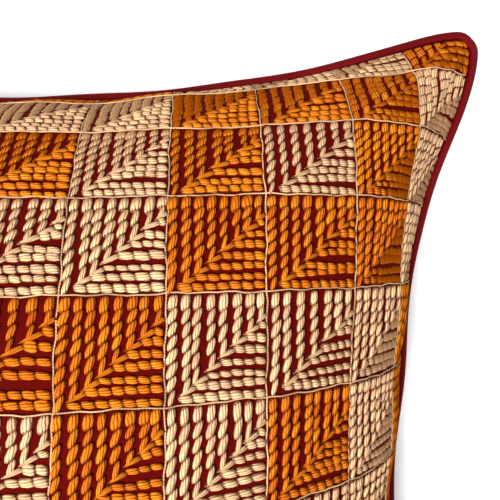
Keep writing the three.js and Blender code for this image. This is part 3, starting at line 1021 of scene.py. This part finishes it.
class CUSHION_OT_piping(bpy.types.Operator):
    """Makes the piping that is sewn into the seam all round"""

    bl_idname = "cushion.piping"
    bl_label = "Piping"

    def execute(self, context):
        cover, piping = settings_of(context).cover, settings_of(context).piping
        face = cover_grids(cover)[0]
        loop = np.concatenate([face[-1, :-1], face[:0:-1, -1], face[0, :0:-1], face[:-1, 0]])
        run = np.roll(loop, -1, axis=0) - np.roll(loop, 1, axis=0)
        run /= np.linalg.norm(run, axis=1, keepdims=True)
        outward = np.stack([run[:, 1], -run[:, 0], np.zeros(len(run))], -1)
        outward /= np.linalg.norm(outward, axis=1, keepdims=True)
        upward = np.cross(outward, run)
        middle = loop + outward * (piping.radius - piping.nest)
        turn = 2 * math.pi * np.arange(piping.sides) / piping.sides
        ring = outward[:, None] * np.cos(turn)[None, :, None] + upward[:, None] * np.sin(turn)[None, :, None]
        vertices = (middle[:, None] + ring * piping.radius).reshape(-1, 3)
        count, sides = len(loop), piping.sides
        i, s = np.meshgrid(np.arange(count), np.arange(sides), indexing="ij")
        ahead, beside = (i + 1) % count, (s + 1) % sides
        quads = np.stack([i * sides + s, ahead * sides + s, ahead * sides + beside, i * sides + beside], -1)
        made = new_object("seam_piping", vertices.tolist(), quads.reshape(-1, 4).tolist())
        length = np.concatenate([[0], np.cumsum(np.linalg.norm(np.roll(loop, -1, axis=0) - loop, axis=1))])
        girth = 2 * math.pi * piping.radius
        u = np.stack([length[i], length[i + 1], length[i + 1], length[i]], -1)
        v = np.stack([s, s, s + 1, s + 1], -1) / sides * girth
        set_uv(made.data, "bias", np.stack([u + v, v - u], -1).reshape(-1, 2))
        cloth = cloth_material("piping_cloth", piping.cloth, "bias", 1.0, 2200.0, 0.6, 0.08)
        made.data.materials.append(cloth)
        finish_piece(made, "piping")
        return {"FINISHED"}


class CUSHION_OT_embroidery(bpy.types.Operator):
    """Works the squares of the face in orange and cream yarn"""

    bl_idname = "cushion.embroidery"
    bl_label = "Embroidery"

    def execute(self, context):
        cover, settings = settings_of(context).cover, settings_of(context).embroidery
        tree, face = stitch_tree(), face_form(cover)
        forms = {name: stitch_form(f"{name}_stitch", **measures) for name, measures in FORMS.items()}
        for name, (place, turn, size, tone, form) in stitch_rows(cover, settings).items():
            points = np.concatenate([place, np.zeros((len(place), 1))], axis=1)
            base = new_object(f"{name}_points", points.tolist(), [], smooth=False)
            columns = (
                ("turn", "FLOAT", turn), ("size", "FLOAT_VECTOR", size), ("tone", "FLOAT", tone),
                ("form", "INT", form))
            for label, kind, values in columns:
                layer = base.data.attributes.new(label, kind, "POINT")
                values = values.astype(np.int32 if kind == "INT" else np.float32).ravel()
                layer.data.foreach_set("vector" if kind == "FLOAT_VECTOR" else "value", values)
            colour = getattr(settings, name.split("_")[0])
            material = yarn_material(name, colour, **YARNS[name], ground=cover.cloth)
            made = grown(name, base, tree, {
                **forms, "Face": face, "Side": cover.flat_side, "Seed": settings.seed, "Material": material})
            finish_piece(made)
        for used in (*forms.values(), face):
            bpy.data.objects.remove(used)
        return {"FINISHED"}


class CUSHION_OT_couching(bpy.types.Operator):
    """Lays the thin couched thread along the lines between the squares"""

    bl_idname = "cushion.couching"
    bl_label = "Couched thread"

    def execute(self, context):
        whole = settings_of(context)
        cover, couching, squares = whole.cover, whole.couching, whole.embroidery.squares
        rng = np.random.default_rng(whole.embroidery.seed + THREAD_SEED)
        columns, rows = range(len(COLUMN_SHIFTS)), range(len(ROW_SHIFTS))
        lines = [("column", [crossing(cover, squares, k, j) for j in rows]) for k in columns]
        lines += [("row", [crossing(cover, squares, k, j) for k in columns]) for j in rows]
        vertices, edges = [], []
        for kind, knots in lines:
            knots = np.array(knots)
            length = np.concatenate([[0], np.linalg.norm(np.diff(knots, axis=0), axis=1).cumsum()])
            along = np.arange(0, length[-1], couching.step)
            line = np.stack([np.interp(along, length, knots[:, axis]) for axis in (0, 1)], -1)
            way = knots[-1] - knots[0]
            side = np.array((-way[1], way[0])) / np.linalg.norm(way)
            waves = sum(np.sin(along / reach + rng.uniform(0, 2 * math.pi)) for reach in THREAD_WAVES)
            line = line + side * (waves * couching.sway / THREAD_WAVE_SUM)[:, None]
            line = line[inside_seam(cover, line, THREAD_MARGIN)]
            if len(line) < 3:
                continue
            height = couching.radius * THREAD_HEIGHTS[kind]
            first = len(vertices)
            vertices += [(*point, height) for point in line]
            edges += [(n, n + 1) for n in range(first, first + len(line) - 1)]
        base = new_object("couched_lines", vertices, [], edges, smooth=False)
        face = face_form(cover)
        made = grown("couched_thread", base, thread_tree(), {
            "Face": face, "Side": cover.flat_side, "Radius": couching.radius, "Sides": couching.sides,
            "Material": thread_material("couched_thread", couching.thread)})
        finish_piece(made)
        bpy.data.objects.remove(face)
        return {"FINISHED"}


class CUSHION_OT_studio(bpy.types.Operator):
    """Sets up the pale floor, the soft lights and the camera"""

    bl_idname = "cushion.studio"
    bl_label = "Studio"

    def execute(self, context):
        studio = settings_of(context).studio
        scene = context.scene
        around = ((-1, -1), (1, -1), (1, 1), (-1, 1))
        corners = [(FLOOR_HALF * x, FLOOR_HALF * y, -FLOOR_DROP) for x, y in around]
        floor = new_object("studio_floor", corners, [(0, 1, 2, 3)], smooth=False)
        paint, tree, shader = new_material("floor_paint", 0.9, 0.2)
        cloudy = noise(tree, add(tree, "ShaderNodeTexCoord").outputs["Object"], 3.0)
        tint = colour_between(tree, cloudy, shaded(studio.floor, 0.99), shaded(studio.floor, 1.0))
        tree.links.new(tint, shader["Base Color"])
        shader["Emission Color"].default_value = WHITE
        shader["Emission Strength"].default_value = FLOOR_GLOW
        floor.data.materials.append(paint)
        world = bpy.data.worlds.new("studio_air")
        world.use_nodes = True
        air = world.node_tree.nodes["Background"].inputs
        air["Color"].default_value = WHITE
        air["Strength"].default_value = AIR_GLOW
        scene.world = world
        for light in LIGHTS:
            lamp = bpy.data.lights.new(light["name"], "AREA")
            lamp.size = light["size"]
            lamp.energy = light["power"]
            linked(light["name"], lamp).matrix_world = aimed(light["place"], LIGHT_TARGET)
        camera = bpy.data.cameras.new("camera")
        camera.lens = studio.lens
        camera.sensor_width = 36
        camera.clip_start = 0.005
        scene.camera = linked("camera", camera)
        turns = ((studio.camera_pitch, "X"), (studio.camera_yaw, "Y"), (studio.camera_roll, "Z"))
        matrix = Matrix.Translation(studio.camera_place)
        for angle, axis in turns:
            matrix = matrix @ Matrix.Rotation(angle, 4, axis)
        scene.camera.matrix_world = matrix
        return {"FINISHED"}


def aimed(place, target):
    """Matrix of a lamp at a place that shines at a target."""
    way = Vector(target) - Vector(place)
    return Matrix.Translation(place) @ way.to_track_quat("-Z", "Y").to_matrix().to_4x4()


STEPS = (
    CUSHION_OT_groups,
    CUSHION_OT_cover,
    CUSHION_OT_piping,
    CUSHION_OT_embroidery,
    CUSHION_OT_couching,
    CUSHION_OT_studio,
)


class CUSHION_PT_panel(bpy.types.Panel):
    """Lists the pieces and their settings"""

    bl_idname = "CUSHION_PT_panel"
    bl_label = "Embroidered cushion"
    bl_space_type = "VIEW_3D"
    bl_region_type = "UI"
    bl_category = "Cushion"

    def draw(self, context):
        whole = settings_of(context)
        for step in STEPS:
            self.layout.operator(step.bl_idname)
        for part in ("cover", "piping", "embroidery", "couching", "studio"):
            box = self.layout.box()
            group = getattr(whole, part)
            for name in type(group).__annotations__:
                box.prop(group, name)


CLASSES = (
    CoverSettings,
    PipingSettings,
    EmbroiderySettings,
    CouchingSettings,
    StudioSettings,
    CushionSettings,
    *STEPS,
    CUSHION_PT_panel,
)


def register():
    for item in CLASSES:
        bpy.utils.register_class(item)
    bpy.types.Scene.cushion = PointerProperty(type=CushionSettings)


def unregister():
    del bpy.types.Scene.cushion
    for item in reversed(CLASSES):
        bpy.utils.unregister_class(item)


def main():
    """Makes every piece in order."""
    register()
    bpy.context.scene.view_settings.view_transform = "Standard"
    for step in STEPS:
        section, name = step.bl_idname.split(".")
        getattr(getattr(bpy.ops, section), name)()


if __name__ == "__main__":
    main()
